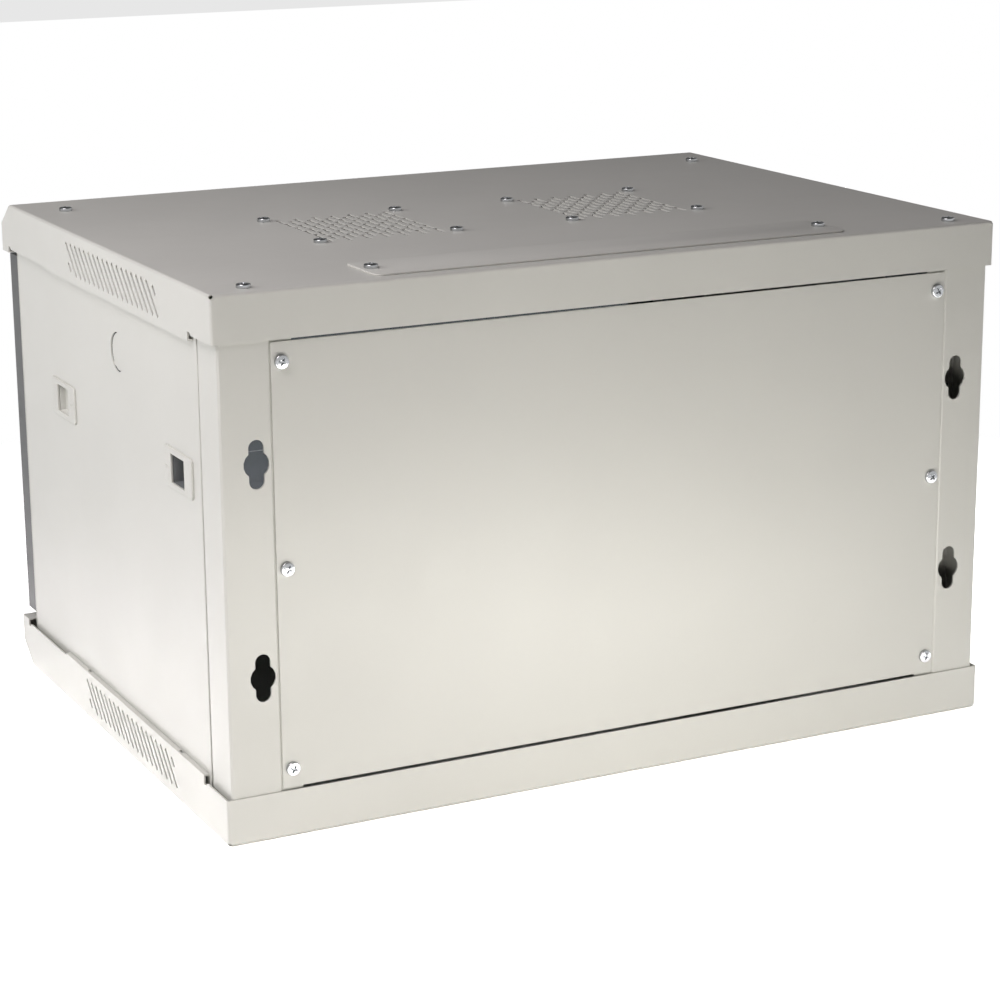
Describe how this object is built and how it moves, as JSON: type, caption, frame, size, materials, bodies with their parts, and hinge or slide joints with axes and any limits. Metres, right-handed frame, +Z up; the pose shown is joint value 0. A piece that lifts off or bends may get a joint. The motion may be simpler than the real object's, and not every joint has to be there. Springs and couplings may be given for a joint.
{
  "type": "wall mount network cabinet",
  "caption": "Low wall cabinet for 19 inch network equipment: folded steel covers, a hinged glass door, latched lift-off side panels, keyholes for the wall and roof fans.",
  "frame": {"origin": "middle of the footprint of the covers, on the underside of the bottom cover", "axes": "+Z up, +Y towards the wall (the back), -Y towards the glass door, +X towards the right-hand side of someone who faces the door"},
  "size_m": [0.6, 0.4518, 0.3725],
  "materials": {
    "light_grey_paint": "light grey powder coat with a fine texture, semi-matt",
    "frame_paint": "light grey powder coat, semi-matt",
    "zinc_sheet": "zinc plated steel sheet, cold rolled",
    "door_paint": "mid grey powder coat, semi-matt",
    "smoked_glass": "toughened safety glass, grey tinted",
    "foam_seal": "closed cell foam strip",
    "zinc_steel": "zinc plated steel",
    "zinc_screws": "bright zinc plated",
    "nylon": "moulded nylon, natural",
    "lock_chrome": "polished, nickel plated",
    "fan_plastic": "moulded, black",
    "latch_plastic": "moulded, light grey",
    "latch_slide_plastic": "moulded, dark grey"
  },
  "bodies": {
    "cabinet": {"top_cover": "light_grey_paint", "bottom_cover": "light_grey_paint", "rear_post_right": "light_grey_paint", "rear_post_left": "light_grey_paint", "side_panel_right": "light_grey_paint", "side_panel_left": "light_grey_paint", "back_panel": "light_grey_paint", "entry_plate_top": "light_grey_paint", "entry_plate_bottom": "light_grey_paint", "front_post_right": "frame_paint", "front_post_left": "frame_paint", "brace_lower_right": "zinc_sheet", "brace_lower_left": "zinc_sheet", "brace_upper_right": "zinc_sheet", "brace_upper_left": "zinc_sheet", "rack_rail_right": "zinc_sheet", "rack_rail_left": "zinc_sheet", "roof_corner_screws": "zinc_screws", "floor_corner_screws": "zinc_screws", "fan_screws": "zinc_screws", "entry_screws_top": "zinc_screws", "entry_screws_bottom": "zinc_screws", "back_panel_screws": "zinc_screws", "brace_screws": "zinc_screws", "rail_screws": "zinc_screws", "hinge_bushes": "nylon", "fan_housing_left": "fan_plastic", "fan_housing_right": "fan_plastic", "latch_housing_rear_right": "latch_plastic", "latch_housing_rear_left": "latch_plastic", "latch_housing_front_right": "latch_plastic", "latch_housing_front_left": "latch_plastic"},
    "door": {"door_frame": "door_paint", "door_seal": "foam_seal", "door_glass": "smoked_glass", "door_glass_clips": "zinc_steel", "hinge_pins": "zinc_steel", "hinge_brackets": "door_paint", "lock_barrel": "lock_chrome", "lock_nut": "zinc_steel"},
    "lock": {"lock_plug": "lock_chrome", "lock_cam": "zinc_steel", "lock_cam_screw": "zinc_steel"},
    "latch_rear_right": {"latch_slider_rear_right": "latch_slide_plastic"},
    "latch_rear_left": {"latch_slider_rear_left": "latch_slide_plastic"},
    "latch_front_right": {"latch_slider_front_right": "latch_slide_plastic"},
    "latch_front_left": {"latch_slider_front_left": "latch_slide_plastic"},
    "fan_left": {"fan_rotor_left": "fan_plastic"},
    "fan_right": {"fan_rotor_right": "fan_plastic"}
  },
  "joints": [
    {"name": "door_hinge", "type": "hinge", "parent": "cabinet", "child": "door", "pos_m": [-0.2875, -0.2145, 0.184], "axis": [0, 0, -1], "range_deg": [0, 180]},
    {"name": "lock_turn", "type": "hinge", "parent": "door", "child": "lock", "pos_m": [0.272, -0.21, 0.186], "axis": [0, 1, 0], "range_deg": [0, 90]},
    {"name": "latch_slide_rear_right", "type": "slide", "parent": "cabinet", "child": "latch_rear_right", "axis": [0, -1, 0], "range_m": [0, 0.007], "stiffness_N_per_m": 250, "springref_m": -0.008},
    {"name": "latch_slide_rear_left", "type": "slide", "parent": "cabinet", "child": "latch_rear_left", "axis": [0, -1, 0], "range_m": [0, 0.007], "stiffness_N_per_m": 250, "springref_m": -0.008},
    {"name": "latch_slide_front_right", "type": "slide", "parent": "cabinet", "child": "latch_front_right", "axis": [0, 1, 0], "range_m": [0, 0.007], "stiffness_N_per_m": 250, "springref_m": -0.008},
    {"name": "latch_slide_front_left", "type": "slide", "parent": "cabinet", "child": "latch_front_left", "axis": [0, 1, 0], "range_m": [0, 0.007], "stiffness_N_per_m": 250, "springref_m": -0.008},
    {"name": "fan_spin_left", "type": "hinge", "parent": "cabinet", "child": "fan_left", "pos_m": [-0.09, 0.021, 0.355], "axis": [0, 0, 1], "continuous": true},
    {"name": "fan_spin_right", "type": "hinge", "parent": "cabinet", "child": "fan_right", "pos_m": [0.108, 0.021, 0.355], "axis": [0, 0, 1], "continuous": true}
  ]
}
